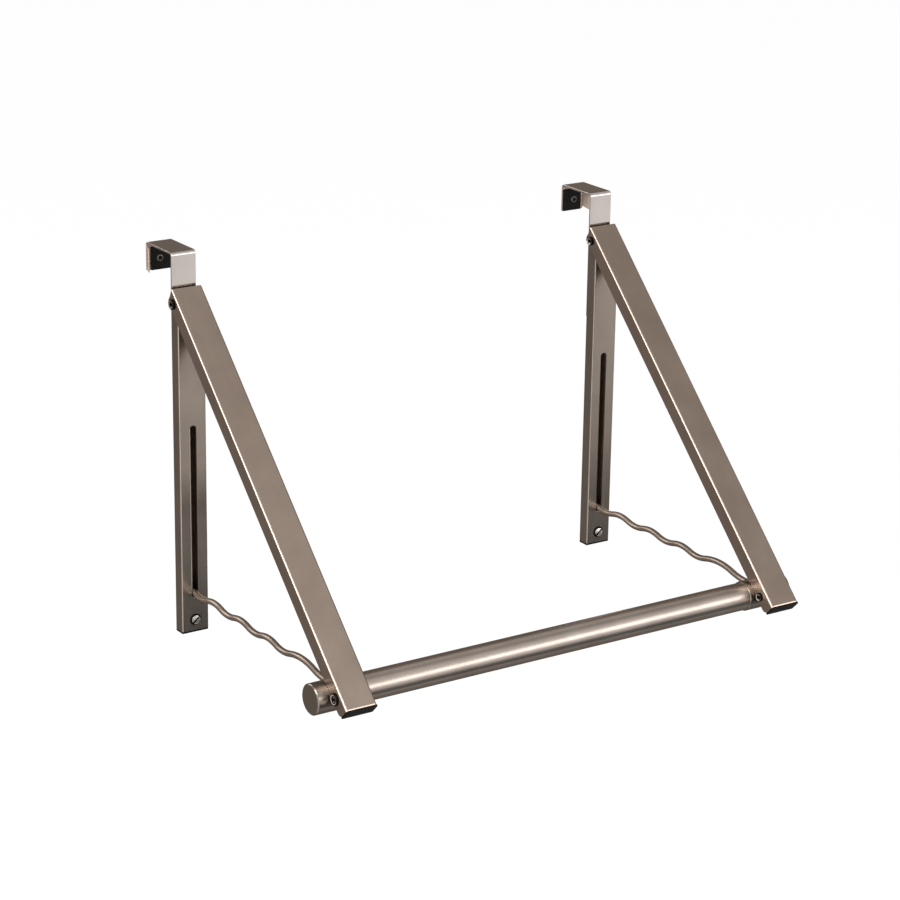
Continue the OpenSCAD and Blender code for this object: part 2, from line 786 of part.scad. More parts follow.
// Seats of the screws' heads, behind the rod's axis
screw_seat = rod_radius + fixing_clearance;

module rod_end_screws(side) {
    color(zinc) at_bracket(side) in_arm() at_rod()
        for (x = [-1, 1])
            translate([x * rod_screw_offset, 0, 0]) difference() {
                union() {
                    bar_back(rod_screw_shank / 2, arm_back - rod_local.x - rod_screw_bite,
                        screw_seat + rod_screw_height * (1 - socket_share) / 2);
                    bar_back(rod_screw_head / 2, screw_seat, screw_seat + rod_screw_height);
                }
                translate([0, screw_seat + rod_screw_height * (1 - socket_share), 0]) rotate([-90, 0, 0])
                    cylinder(h = rod_screw_height, d = hex_socket / cos(30), $fn = 6);
            }
}

hook(-1);  // left_hook
hook(1);  // right_hook
hook_pad(-1);  // left_hook_pad
hook_pad(1);  // right_hook_pad
hook_pad_rivet(-1);  // left_hook_pad_rivet
hook_pad_rivet(1);  // right_hook_pad_rivet
strap_rivets(-1);  // left_strap_rivets
strap_rivets(1);  // right_strap_rivets
upright(-1);  // left_upright
upright(1);  // right_upright
upright_plug(-1);  // left_upright_plug
upright_plug(1);  // right_upright_plug
upright_screw(-1);  // left_upright_screw
upright_screw(1);  // right_upright_screw
door_pad(-1);  // left_door_pad
door_pad(1);  // right_door_pad
pivot_bolt(-1);  // left_pivot_bolt
pivot_bolt(1);  // right_pivot_bolt
pivot_nut(-1);  // left_pivot_nut
pivot_nut(1);  // right_pivot_nut
pivot_bush(-1);  // left_pivot_bush
pivot_bush(1);  // right_pivot_bush
pivot_washers(-1);  // left_pivot_washers
pivot_washers(1);  // right_pivot_washers
arm(-1);  // left_arm
arm(1);  // right_arm
end_block(-1);  // left_end_block
end_block(1);  // right_end_block
brace(-1);  // left_brace
brace(1);  // right_brace
brace_bolt(-1);  // left_brace_bolt
brace_bolt(1);  // right_brace_bolt
brace_nut(-1);  // left_brace_nut
brace_nut(1);  // right_brace_nut
rod();
rod_end(-1);  // left_rod_end
rod_end(1);  // right_rod_end
rod_end_screws(-1);  // left_rod_end_screws
rod_end_screws(1);  // right_rod_end_screws
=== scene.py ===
# %% [markdown]
# # An over-the-door clothing rack
# The rack is two steel brackets that hook over a door, with one rod between them. Every piece comes
# from the CAD frame, exact and in place. This lesson models by hand what the CAD keeps simple, which
# is the round wire of the two braces and the heads of the bolts, screws and eyelets. Then it eases
# the edges of the larger pieces and gives everything its finish. Everything is in metres, in the
# frame of the CAD: X runs along the rod, -Y is the room and Z is up, with the origin on the door's
# front top edge.

import json
from math import asin, cos, hypot, pi, radians, sin

import bmesh
import bpy
from mathutils import Matrix, Vector

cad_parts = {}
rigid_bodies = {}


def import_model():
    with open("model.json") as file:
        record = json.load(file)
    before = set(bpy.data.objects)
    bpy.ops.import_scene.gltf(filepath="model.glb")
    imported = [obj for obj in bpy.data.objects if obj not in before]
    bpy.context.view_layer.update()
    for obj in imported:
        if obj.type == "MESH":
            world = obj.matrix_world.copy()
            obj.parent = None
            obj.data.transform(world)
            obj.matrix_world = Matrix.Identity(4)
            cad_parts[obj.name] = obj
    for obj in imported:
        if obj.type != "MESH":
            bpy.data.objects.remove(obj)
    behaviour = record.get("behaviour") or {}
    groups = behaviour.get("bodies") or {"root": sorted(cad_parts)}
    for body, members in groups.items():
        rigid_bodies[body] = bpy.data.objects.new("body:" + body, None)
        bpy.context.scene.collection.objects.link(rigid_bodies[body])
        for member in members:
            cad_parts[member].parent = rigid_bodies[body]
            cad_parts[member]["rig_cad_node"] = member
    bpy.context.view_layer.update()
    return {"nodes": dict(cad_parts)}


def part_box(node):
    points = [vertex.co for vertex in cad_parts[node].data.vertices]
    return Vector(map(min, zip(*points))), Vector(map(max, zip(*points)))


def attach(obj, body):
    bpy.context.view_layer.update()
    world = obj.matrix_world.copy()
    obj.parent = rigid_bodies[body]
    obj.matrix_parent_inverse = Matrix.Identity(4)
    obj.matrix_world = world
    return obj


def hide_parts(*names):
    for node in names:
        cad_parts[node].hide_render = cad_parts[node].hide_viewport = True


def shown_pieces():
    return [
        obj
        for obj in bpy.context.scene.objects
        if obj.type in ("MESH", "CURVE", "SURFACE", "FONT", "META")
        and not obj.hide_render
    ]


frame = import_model()
nodes = frame["nodes"]

# %% [markdown]
# ## Units and places
# The CAD is written in millimetres, so one helper turns a length or a place into metres. The two
# brackets stand at equal distances from the middle, and each has the same pieces. A loop over the
# two sides therefore builds both, and -1 is the left one.

# %% Helpers for lengths and sides
MM = 0.001
SIDES = {"left": -1, "right": 1}


def mm(*values):
    """One length, or a place as a vector, from millimetres."""
    return values[0] * MM if len(values) == 1 else Vector(values) * MM


def middle(node):
    """The centre of a CAD node's box."""
    low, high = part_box(node)
    return (Vector(low) + Vector(high)) / 2


bracket_x = {name: middle(name + "_upright").x for name in SIDES}
pivot = {name: middle(name + "_pivot_bush") for name in SIDES}
print("Bracket centres:", bracket_x)

# %% [markdown]
# ## From a bmesh to a piece
# Each new piece is built in a bmesh and then becomes an object at the origin, unturned and unscaled,
# with its place in its mesh. Merging doubles closes the poles of spun shapes. After that the normals
# are recalculated, because a spin can leave a shape inside out. Faces are shaded smooth up to a
# corner angle, so that rims stay crisp while round walls look round.

# %% Turn a bmesh into a piece
SMOOTH_TO = radians(32)
MERGE, NEAR, SLACK = 0.002, 0.01, 0.05


def unique(items):
    """Items without repeats, in their own order, which a set of mesh elements would not keep."""
    return list(dict.fromkeys(items))


def finish_piece(name, bm, body, replaced):
    """Makes a mesh object of a bmesh, on its body, in the place of a CAD node."""
    bmesh.ops.remove_doubles(bm, verts=bm.verts, dist=mm(MERGE))
    bmesh.ops.recalc_face_normals(bm, faces=bm.faces)
    for face in bm.faces:
        face.smooth = True
    for edge in bm.edges:
        edge.smooth = len(edge.link_faces) == 2 and edge.calc_face_angle(0) < SMOOTH_TO
    mesh = bpy.data.meshes.new(name)
    bm.to_mesh(mesh)
    bm.free()
    piece = bpy.data.objects.new(name, mesh)
    bpy.context.collection.objects.link(piece)
    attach(piece, body)
    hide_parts(replaced)
    print(name, len(mesh.polygons), "faces")
    return piece


def spin_profile(bm, points, steps=48):
    """Turns a profile of (along, radius) points, in mm, about the X axis."""
    verts = [bm.verts.new(mm(along, radius, 0)) for along, radius in points]
    edges = [bm.edges.new(pair) for pair in zip(verts, verts[1:])]
    bmesh.ops.spin(bm, geom=verts + edges, cent=(0, 0, 0), axis=(1, 0, 0), angle=2 * pi,
                   steps=steps, use_merge=True, use_duplicate=False)

# %% [markdown]
# ## The wavy brace
# Each brace is a 5.6 mm round wire. One end is turned sideways behind the slot of the upright, then
# the wire waves towards the room and ends in a flattened eye on the brace bolt. Bending such a wire
# is a series of arcs. That is just what a spin does: a circle starts at the turned end, and each
# extrude or spin carries it on by one straight stretch or one arc. A curve with a bevel would also
# do, but its arcs would only come close to true ones.

# %% Sizes of the brace
# The wire's radius, then the places (y, z) of its turned end and of the bolt through its eye.
WIRE = 2.8
SLIDE = (-10.25, -308.883)
PIN = (-280.291, -312.827)
# The turned end, the seven equal half waves, and how many times longer the last ones are.
HOOK_BEND, HOOK_REACH = 4.0, 7.0
HALF_WAVE, HALF_WAVES, WAVE_RISE = 24.0, 7, 1.7
LONG = 5 / 3
EYE_RADIUS, EYE_THICK, EYE_RIM, BOLT_RADIUS = 8.3, 5.0, 0.8, 2.56
# Points round the wire, and steps in a short, a long and the last arc.
WIRE_SIDES, SHORT_STEPS, LONG_STEPS, LAST_STEPS = 24, 8, 10, 6
wave_radius = (HALF_WAVE ** 2 / 4 + WAVE_RISE ** 2) / (2 * WAVE_RISE)
wave_angle = asin(HALF_WAVE / 2 / wave_radius)
print("wave radius", round(wave_radius, 2), "mm, angle", round(wave_angle, 4))

# %% Ways to carry the wire on
def straight(bm, ring, step):
    """Carries a ring of edges on by one straight stretch and returns the new ring."""
    made = bmesh.ops.extrude_edge_only(bm, edges=ring)["geom"]
    bmesh.ops.translate(bm, verts=[v for v in made if isinstance(v, bmesh.types.BMVert)], vec=step)
    return [e for e in made if isinstance(e, bmesh.types.BMEdge) and e.is_boundary]


def arc(bm, ring, centre, axis, angle, steps):
    """Carries a ring of edges round one arc and returns the new ring."""
    ends = unique(v for e in ring for v in e.verts)
    made = bmesh.ops.spin(bm, geom=ends + ring, cent=centre, axis=axis, angle=angle, steps=steps,
                          use_duplicate=False)["geom_last"]
    return [e for e in made if isinstance(e, bmesh.types.BMEdge)]

# %% [markdown]
# The path is walked once. It starts across the bracket, turns to the room and takes the seven equal
# half waves. Then comes one longer half wave over the top and half of another down, which brings the
# wire level with the eye.

# %% Bend the wire
def turned_end(bm, x, out):
    """The stretch behind the slot and the bend out of it, as the ring at its end."""
    across = Vector((1, 0, 0))
    start = Matrix.Translation(mm(x - HOOK_REACH, *SLIDE)) @ Matrix.Rotation(pi / 2, 4, "Y")
    ring = bmesh.ops.create_circle(bm, radius=mm(WIRE), segments=WIRE_SIDES, cap_ends=False, matrix=start)
    ring = unique(e for v in ring["verts"] for e in v.link_edges)
    bmesh.ops.edgeloop_fill(bm, edges=ring)
    ring = straight(bm, ring, across * mm(HOOK_REACH - HOOK_BEND))
    corner = mm(x - HOOK_BEND, *SLIDE) + out * mm(HOOK_BEND)
    return arc(bm, ring, corner, across.cross(out), pi / 2, SHORT_STEPS)


def bent_wire(bm, x):
    across, out = Vector((1, 0, 0)), Vector((0, -cos(wave_angle), -sin(wave_angle)))
    ring = turned_end(bm, x, out)
    level = PIN[1] + WAVE_RISE * LONG
    y = SLIDE[0] - HOOK_BEND * cos(wave_angle)
    for i in range(HALF_WAVES):
        way = 1 if i % 2 == 0 else -1
        centre = mm(x, y - HALF_WAVE / 2, level + way * (wave_radius - WAVE_RISE))
        ring = arc(bm, ring, centre, across, -way * 2 * wave_angle, SHORT_STEPS)
        y -= HALF_WAVE
    crest = PIN[1] + (2 * WAVE_RISE - wave_radius) * LONG
    ring = arc(bm, ring, mm(x, y - HALF_WAVE * LONG / 2, crest), across, 2 * wave_angle, LONG_STEPS)
    y -= HALF_WAVE * LONG * 3 / 2
    ring = arc(bm, ring, mm(x, y, PIN[1] + wave_radius * LONG), across, -wave_angle, LAST_STEPS)
    ring = straight(bm, ring, Vector((0, mm(PIN[0] + EYE_RADIUS - EYE_THICK / 2 - y), 0)))
    bmesh.ops.edgeloop_fill(bm, edges=ring)

# %% [markdown]
# The eye is a thick ring with rounded rims, spun on its own and overlapped by the wire's end.

# %% Make both braces
half, soft = EYE_THICK / 2, EYE_RIM / 3
EYE = [(-half, BOLT_RADIUS), (-half, EYE_RADIUS - EYE_RIM), (-half + soft, EYE_RADIUS - soft),
       (-half + EYE_RIM, EYE_RADIUS), (half - EYE_RIM, EYE_RADIUS), (half - soft, EYE_RADIUS - soft),
       (half, EYE_RADIUS - EYE_RIM), (half, BOLT_RADIUS), (-half, BOLT_RADIUS)]

for name in SIDES:
    bm = bmesh.new()
    spin_profile(bm, EYE)
    bmesh.ops.translate(bm, verts=bm.verts, vec=(bracket_x[name], mm(PIN[0]), mm(PIN[1])))
    bent_wire(bm, bracket_x[name] / MM)
    finish_piece(name + "_wavy_wire", bm, name + "_brace", name + "_brace")

# %% [markdown]
# ## Bolt heads and nuts
# The pivots show small round heads with a hexagon socket. A head like this is turned from bar, its
# edge is rounded, its face is dished and the socket is pressed in. The model follows the same order:
# a profile is spun about the bolt's axis, its open mouth is bridged to a hexagon, and the hexagon is
# extruded inwards. Each head has two materials: the zinc shows as a bright ring and on the floor of
# the socket, and a near-black copy paints shade on the rim and on the dish inside the ring.

# %% Turn a head with its socket
HEAD_HEIGHT, SOCKET, DISH = 1.4, 3.0, 0.6
MOUTH, SOCKET_FLOOR = SOCKET * 0.72, SOCKET * 0.4
ROUNDING, CHAMFER = 0.7, 0.15
ROUND_STEPS = (0.5, 1.0, pi / 2)
# The bright ring's outer and inner edges, as shares of the head's radius, with painted shade beyond both.
RING_OUT, RING_IN = 0.78, 0.62
SHANK = 2.5


def head_profile(head, face, shank_end):
    """From the end of the shank, round the head's edge, to the mouth of the socket."""
    top = face + HEAD_HEIGHT
    shank = [(shank_end, 0), (shank_end, SHANK), (face, SHANK), (face, head - 2 * CHAMFER)]
    rim = [(face + CHAMFER, head - CHAMFER), (top - ROUNDING, head)]
    rim += [(top - ROUNDING + ROUNDING * sin(a), head - ROUNDING + ROUNDING * cos(a))
            for a in ROUND_STEPS]
    return shank + rim + [(top, head * RING_OUT), (top - DISH / 2, head * RING_IN), (top - DISH, MOUTH)]


def socket_fastener(name, node, body, centre, way, head, face, shank_end):
    """A head on the side that way (1 or -1) points to, with a shank back to shank_end."""
    bm = bmesh.new()
    spin_profile(bm, head_profile(head, face, shank_end))
    bmesh.ops.remove_doubles(bm, verts=bm.verts, dist=mm(MERGE))
    mouth = Matrix.Translation(mm(face + HEAD_HEIGHT - DISH, 0, 0)) @ Matrix.Rotation(pi / 2, 4, "Y")
    hexagon = bmesh.ops.create_circle(bm, radius=mm(SOCKET / 2 / cos(pi / 6)), segments=6, matrix=mouth)
    hexagon = unique(e for v in hexagon["verts"] for e in v.link_edges)
    loop = [e for e in bm.edges if e.is_boundary and e not in hexagon]
    bmesh.ops.bridge_loops(bm, edges=loop + hexagon)
    floor = straight(bm, hexagon, mm(-HEAD_HEIGHT / 2, 0, 0))
    bmesh.ops.edgeloop_fill(bm, edges=floor)
    # Material 1 paints shade on the rim and on the dish; the bright ring and the socket stay zinc.
    for facet in bm.faces:
        spot = facet.calc_center_median()
        out = hypot(spot.y, spot.z) / MM
        facet.material_index = int(out > head * RING_OUT or SOCKET_FLOOR < out < head * RING_IN)
    if way < 0:
        bmesh.ops.scale(bm, verts=bm.verts, vec=(-1, 1, 1))
    bmesh.ops.translate(bm, verts=bm.verts, vec=centre)
    return finish_piece(name, bm, body, node)

# %% [markdown]
# A bolt has its head on the outer side. The nut on the inner side looks the same, but it has no
# shank, because a barrel nut is closed by the end of the bolt. The same function makes it, with a
# shank that stops just behind the face.

# %% The bolts and the nuts
# The head's radius, then its seat and the shank's end, both counted from the bracket's middle.
PIVOT_SCREW, BRACE_SCREW = (4.8, 15.3, -15.9), (5.75, 15.0, -15.6)
PIVOT_BARREL, BRACE_BARREL = (4.3, 15.3, 15.2), (4.1, 15.0, 14.9)
at_pivot = {name: Vector((bracket_x[name], pivot[name].y, pivot[name].z)) for name in SIDES}
at_pin = {name: mm(bracket_x[name] / MM, *PIN) for name in SIDES}

for name, side in SIDES.items():
    socket_fastener(name + "_pivot_screw", name + "_pivot_bolt", "brackets",
                    at_pivot[name], side, *PIVOT_SCREW)
    socket_fastener(name + "_brace_screw", name + "_brace_bolt", "arms",
                    at_pin[name], side, *BRACE_SCREW)

for name, side in SIDES.items():
    socket_fastener(name + "_pivot_barrel", name + "_pivot_nut", "brackets",
                    at_pivot[name], -side, *PIVOT_BARREL)
    socket_fastener(name + "_brace_barrel", name + "_brace_nut", "arms",
                    at_pin[name], -side, *BRACE_BARREL)

# %% [markdown]
# ## The slotted screws
# A slotted screw holds the plug in the foot of each upright. Its slot runs out through the rim. It
# is quicker to raise the two halves beside the slot than to cut one: the top of a low disc is cut by
# two planes, the D-shaped faces are extruded upwards, and their edges are bevelled. The floor of the
# slot gets the second, darker material, a painted shade in the recess.

# %% Helpers for the screw's head
SCREW_RADIUS, SCREW_HEIGHT, SLIT, SLIT_TURN = 4.2, 1.8, 1.4, radians(42)
SCREW_BASE, SCREW_EDGE, SCREW_SIDES = SCREW_HEIGHT / 3, 0.28, 48
SCREW_Z = -335.5
TUBE_FRONT = -14.6


def facing_room(bm, centre):
    """Turns what was built along +Z to face the room, and puts it in place."""
    bmesh.ops.rotate(bm, verts=bm.verts, cent=(0, 0, 0), matrix=Matrix.Rotation(pi / 2, 3, "X"))
    bmesh.ops.translate(bm, verts=bm.verts, vec=centre)


def raised_faces(bm, faces, height):
    """Extrudes faces along +Z, takes the old ones away and returns the new ones."""
    made = bmesh.ops.extrude_face_region(bm, geom=faces)["geom"]
    bmesh.ops.delete(bm, geom=faces, context="FACES_ONLY")
    lifted = [v for v in made if isinstance(v, bmesh.types.BMVert)]
    bmesh.ops.translate(bm, verts=lifted, vec=(0, 0, mm(height)))
    return [f for f in made if isinstance(f, bmesh.types.BMFace)]


def with_edges(faces):
    """Faces with all their edges and vertices, as a cut needs them."""
    return faces + unique(e for f in faces for e in f.edges) + unique(v for f in faces for v in f.verts)

# %% Raise and bevel the two halves
for name in SIDES:
    bm = bmesh.new()
    bmesh.ops.create_circle(bm, cap_ends=True, radius=mm(SCREW_RADIUS), segments=SCREW_SIDES)
    raised_faces(bm, list(bm.faces), SCREW_BASE)
    normal = Vector((-sin(SLIT_TURN), cos(SLIT_TURN), 0))
    for way in (-1, 1):
        whole = [f for f in bm.faces
                 if f.normal.z > 0.9 or f.calc_center_median().z > mm(SCREW_BASE - NEAR)]
        bmesh.ops.bisect_plane(bm, geom=with_edges(whole), dist=mm(0.001),
                               plane_co=normal * mm(way * SLIT / 2), plane_no=normal)
    top = [f for f in bm.faces if abs(f.calc_center_median().z - mm(SCREW_BASE)) < mm(NEAR)]
    halves = [f for f in top if abs(f.calc_center_median().dot(normal)) > mm(SLIT / 2 + 2 * SLACK)]
    raised = []
    for face in halves:
        raised += raised_faces(bm, [face], SCREW_HEIGHT * 2 / 3)
    rims = unique(e for f in raised for e in f.edges)
    bmesh.ops.bevel(bm, geom=rims, offset=mm(SCREW_EDGE), offset_type="OFFSET", segments=2, profile=0.5,
                    affect="EDGES", material=-1)
    # The slot's floor takes material 1, a painted shade.
    for face in bm.faces:
        face.material_index = int(abs(face.calc_center_median().dot(normal)) < mm(SLIT / 2 + SLACK))
    facing_room(bm, mm(bracket_x[name] / MM, TUBE_FRONT, SCREW_Z))
    finish_piece(name + "_slotted_screw", bm, "brackets", name + "_upright_screw")

# %% [markdown]
# ## Painted shade rings round the screws
# Each slotted screw sits in a thin near-black ring, a painted shade round its head. It is shaped as a
# plain washer with a rounded edge, so one spun profile gives it. The turned shape is then swung to face
# the room.

# %% Spin the painted shade rings
SHADE_RING_IN, SHADE_RING_OUT, SHADE_RING_HIGH = 4.3, 5.5, 0.7
SHADE_RING_EDGE = SHADE_RING_HIGH * 0.4
SHADE_RING = [(0.0, SHADE_RING_IN), (SHADE_RING_HIGH, SHADE_RING_IN), (SHADE_RING_HIGH, SHADE_RING_OUT - SHADE_RING_EDGE),
          (SHADE_RING_HIGH - SHADE_RING_EDGE / 3, SHADE_RING_OUT - SHADE_RING_EDGE / 3),
          (SHADE_RING_HIGH - SHADE_RING_EDGE, SHADE_RING_OUT), (0.0, SHADE_RING_OUT), (0.0, SHADE_RING_IN)]


def spun_to_room(bm, profile, centre):
    """Spins a profile, swings its axis to the room and puts it in place."""
    spin_profile(bm, profile)
    bmesh.ops.rotate(bm, verts=bm.verts, cent=(0, 0, 0), matrix=Matrix.Rotation(-pi / 2, 3, "Z"))
    bmesh.ops.translate(bm, verts=bm.verts, vec=centre)


# Each ring wears the near-black steel as painted shade round a slotted screw.
for name in SIDES:
    bm = bmesh.new()
    spun_to_room(bm, SHADE_RING, mm(bracket_x[name] / MM, TUBE_FRONT, SCREW_Z))
    finish_piece(name + "_screw_collar", bm, "brackets", name + "_upright_screw")

# %% [markdown]
# ## The eyelets of the hook pads
# A small hollow rivet, an eyelet, holds each rubber pad to the rear flange of its hook. The photo
# shows its ring. The rolled rim and the flat head behind the flange come from one profile, from the
# blind hole in front to the centre of the head at the back. The hole's wall and floor get a painted shade.

# %% Spin the eyelets
PAD_MIDDLE = middle("left_hook_pad_rivet").z / MM
# Points of (distance behind the door's front face, radius).
EYELET = [(41.15, 0), (41.15, 1.5), (40.85, 1.65), (40.7, 2.0), (40.72, 2.5), (40.9, 2.95),
          (41.25, 3.22), (41.6, 3.25), (41.6, 1.5), (45.4, 1.5), (45.4, 3.25), (45.8, 3.18),
          (46.15, 2.7), (46.3, 1.8), (46.3, 0)]
EYELET_HOLE = 1.9

for name in SIDES:
    bm = bmesh.new()
    profile = [(-depth, radius) for depth, radius in EYELET]
    spun_to_room(bm, profile, mm(bracket_x[name] / MM, 0, PAD_MIDDLE))
    axis = Vector((bracket_x[name], 0, mm(PAD_MIDDLE)))
    # Material 1 paints shade on the hole's wall and floor.
    for face in bm.faces:
        out = face.calc_center_median() - axis
        face.material_index = int(hypot(out.x, out.z) < mm(EYELET_HOLE))
    finish_piece(name + "_eyelet", bm, "brackets", name + "_hook_pad_rivet")

# %% [markdown]
# ## Eased edges
# The CAD solids have knife edges where plates and tubes were cut. On the real rack such edges are
# deburred and then plated, so each one catches a thin line of light. A copy of the CAD mesh is
# merged, its flat triangles are joined, and its sharp edges get a small bevel. Weighted normals then
# keep the large faces flat, so that only the edges shine.
#
# Two kinds of piece need care. On a rod's end fitting only the rims of its two ends are bevelled,
# because a bevel along the cuts in its round wall throws out spikes. On an arm the front edge at the
# foot is rounded more than the rest, as the pale line there in the photo shows, and its facets stay
# crisp to catch the light.

# %% Choose and bevel edges
CORNER = radians(28)
FOOT_WIDTH = 1.2
FOOT_REACH = FOOT_WIDTH * 0.8


def bevel(bm, edges, width):
    bmesh.ops.bevel(bm, geom=edges, offset=mm(width), offset_type="OFFSET", segments=2, profile=0.5,
                    affect="EDGES", clamp_overlap=False, material=-1)


def end_rims(bm, edges):
    """Only the edges that lie in the planes of the two ends along X."""
    across = [v.co.x for v in bm.verts]
    ends = (min(across), max(across))
    return [e for e in edges if any(all(abs(v.co.x - end) < mm(NEAR) for v in e.verts) for end in ends)]


def foot_edges(edges, front):
    """The edges at the foot of an arm's front face, which are the nearest to the room."""
    return [e for e in edges if all(v.co.y < front + mm(SLACK) for v in e.verts)]


def crisp_foot(mesh, front):
    """Marks the facets of the broad bevel at the foot as sharp."""
    for edge in mesh.edges:
        if all(mesh.vertices[i].co.y < front + mm(FOOT_REACH) for i in edge.vertices):
            edge.use_edge_sharp = True

# %% Bevel copies of the CAD solids
CAD_MERGE, FLAT = 0.003, radians(0.3)


def eased_copy(node, body, width):
    """A copy of a CAD node's mesh with small bevels, in the node's place."""
    bm = bmesh.new()
    bm.from_mesh(nodes[node].data)
    bmesh.ops.remove_doubles(bm, verts=bm.verts, dist=mm(CAD_MERGE))
    bmesh.ops.dissolve_limit(bm, angle_limit=FLAT, verts=bm.verts, edges=bm.edges)
    sharp = [e for e in bm.edges if len(e.link_faces) == 2 and e.calc_face_angle(0) > CORNER]
    front = min(v.co.y for v in bm.verts)
    foot = []
    if node.endswith("_rod_end"):
        sharp = end_rims(bm, sharp)
    elif node.endswith("_arm"):
        foot = foot_edges(sharp, front)
        cut_end = {f for e in foot for f in e.link_faces if f.normal.z < 0}
        sharp = [e for e in sharp if not cut_end.intersection(e.link_faces)]
    bevel(bm, sharp, width)
    if foot:
        bevel(bm, foot, FOOT_WIDTH)
    piece = finish_piece(node + "_eased", bm, body, node)
    if foot:
        crisp_foot(piece.data, front)
    normals = piece.modifiers.new("weighted normals", "WEIGHTED_NORMAL")
    normals.keep_sharp = True
    return piece


# Each kind of piece with its body, its material slot and the width of its bevels.
EASED = {
    "hook": ("brackets", "polished_steel", 0.5),
    "hook_pad": ("brackets", "rubber_pad", 0.3),
    "upright": ("brackets", "bronze_steel", 0.4),
    "upright_plug": ("brackets", "black_plastic", 0.2),
    "door_pad": ("brackets", "rubber_pad", 0.3),
    "arm": ("arms", "bronze_steel", 0.6),
    "end_block": ("arms", "black_plastic", 0.15),
    "rod_end": ("arms", "bronze_steel", 0.4),
    "rod_end_screws": ("arms", "zinc_steel", 0.25),
}
eased = {}
for part, (body, slot, width) in EASED.items():
    for name in SIDES:
        eased[name + "_" + part] = eased_copy(name + "_" + part, body, width)

# %% [markdown]
# The rear leg of each hook, with its wing, gets the second material of the hook: a rougher, beige copy
# of the nickel whose tone paints light on the rear leg where it sits in the hook's shade.

# %% Mark the rear legs of the hooks
REAR_LEG = 34.0
# Faces behind REAR_LEG take the beige nickel that paints light on the rear leg.
for name in SIDES:
    faces = eased[name + "_hook"].data.polygons
    for face in faces:
        face.material_index = int(face.center.y > mm(REAR_LEG))
    print(name, "rear leg:", sum(face.material_index for face in faces), "of", len(faces), "faces")

# %% [markdown]
# ## Colours and nodes
# Colours are written as sRGB hex values, and one function turns them to the linear values that a
# shader needs. One more function adds a node with its settings and its links, so each material reads
# as a short recipe.

# %% Colour and node helpers
def colour(code):
    """The linear colour of an sRGB hex code."""
    parts = [int(code[i:i + 2], 16) / 255 for i in (1, 3, 5)]
    return [p / 12.92 if p <= 0.04045 else ((p + 0.055) / 1.055) ** 2.4 for p in parts] + [1.0]


def add(tree, kind, inputs=None, **settings):
    """One node, with its inputs set to values or linked to sockets."""
    made = tree.nodes.new(kind)
    for key, value in settings.items():
        setattr(made, key, value)
    for key, value in (inputs or {}).items():
        if isinstance(value, bpy.types.NodeSocket):
            tree.links.new(value, made.inputs[key])
        else:
            made.inputs[key].default_value = value
    return made


def new_material(name):
    material = bpy.data.materials.new(name)
    material.use_nodes = True
    material.node_tree.nodes.clear()
    return material, material.node_tree


def ramp(tree, factor, stops):
    """A colour ramp from (place, hex code) stops."""
    made = add(tree, "ShaderNodeValToRGB", {"Fac": factor})
    line = made.color_ramp
    while len(line.elements) < len(stops):
        line.elements.new(0.5)
    for element, (place, value) in zip(line.elements, stops):
        element.position, element.color = place, colour(value)
    return made.outputs["Color"]

# %% [markdown]
# ## Satin bronze plating
# The arms, uprights, rod and braces are steel tube and strip, brushed and then plated in a warm
# bronze nickel under a clear satin lacquer. The eye sees a metal with a soft reflection, a grain
# along the length of each piece and faint clouds where the plating is thicker. A brushed grain is
# under 0.1 mm wide, too fine to show from here, so it is drawn about 0.4 mm wide. The grain follows
# each piece, so the recipe takes the direction as a turn of the pattern.

# %% The recipe of brushed metal
GRAIN, GRAIN_LENGTH, CLOUD = 0.4, 60.0, 45.0
# How much the grain darkens the colour, how it sways the roughness, and its height in mm.
GRAIN_TONE, SMOOTHER, ROUGHER, GRAIN_HEIGHT = 0.4, 0.02, 0.03, 0.02


def brushed_metal(name, turn, light, dark, rough, bump):
    """Turn brings the direction of the grain to the pattern's Z axis."""
    material, tree = new_material(name)
    place = add(tree, "ShaderNodeTexCoord").outputs["Object"]
    along = add(tree, "ShaderNodeMapping", {"Vector": place, "Rotation": turn}).outputs["Vector"]
    thin = add(tree, "ShaderNodeMapping",
               {"Vector": along, "Scale": (1, 1, GRAIN / GRAIN_LENGTH)}).outputs["Vector"]
    grain = add(tree, "ShaderNodeTexNoise", {"Vector": thin, "Scale": 1 / mm(GRAIN), "Detail": 3.0,
                                            "Roughness": 0.6}).outputs["Fac"]
    cloud = add(tree, "ShaderNodeTexNoise", {"Vector": place, "Scale": 1 / mm(CLOUD), "Detail": 4.0,
                                            "Roughness": 0.55}).outputs["Fac"]
    tone = ramp(tree, cloud, [(0.3, dark), (0.7, light)])
    fine = ramp(tree, grain, [(0.3, "#F1EFED"), (0.7, "#FFFFFF")])
    mixed = add(tree, "ShaderNodeMix", {"Factor": GRAIN_TONE}, data_type="RGBA", blend_type="MULTIPLY")
    tree.links.new(tone, mixed.inputs[6])
    tree.links.new(fine, mixed.inputs[7])
    polish = add(tree, "ShaderNodeMapRange",
                 {"Value": grain, "From Min": 0.3, "From Max": 0.7,
                  "To Min": rough - SMOOTHER, "To Max": rough + ROUGHER}).outputs["Result"]
    relief = add(tree, "ShaderNodeBump", {"Height": grain, "Strength": bump,
                                          "Distance": mm(GRAIN_HEIGHT)}).outputs["Normal"]
    shader = add(tree, "ShaderNodeBsdfPrincipled", {"Base Color": mixed.outputs[2], "Metallic": 1.0,
                                                   "Roughness": polish, "Normal": relief})
    add(tree, "ShaderNodeOutputMaterial", {"Surface": shader.outputs["BSDF"]})
    return material
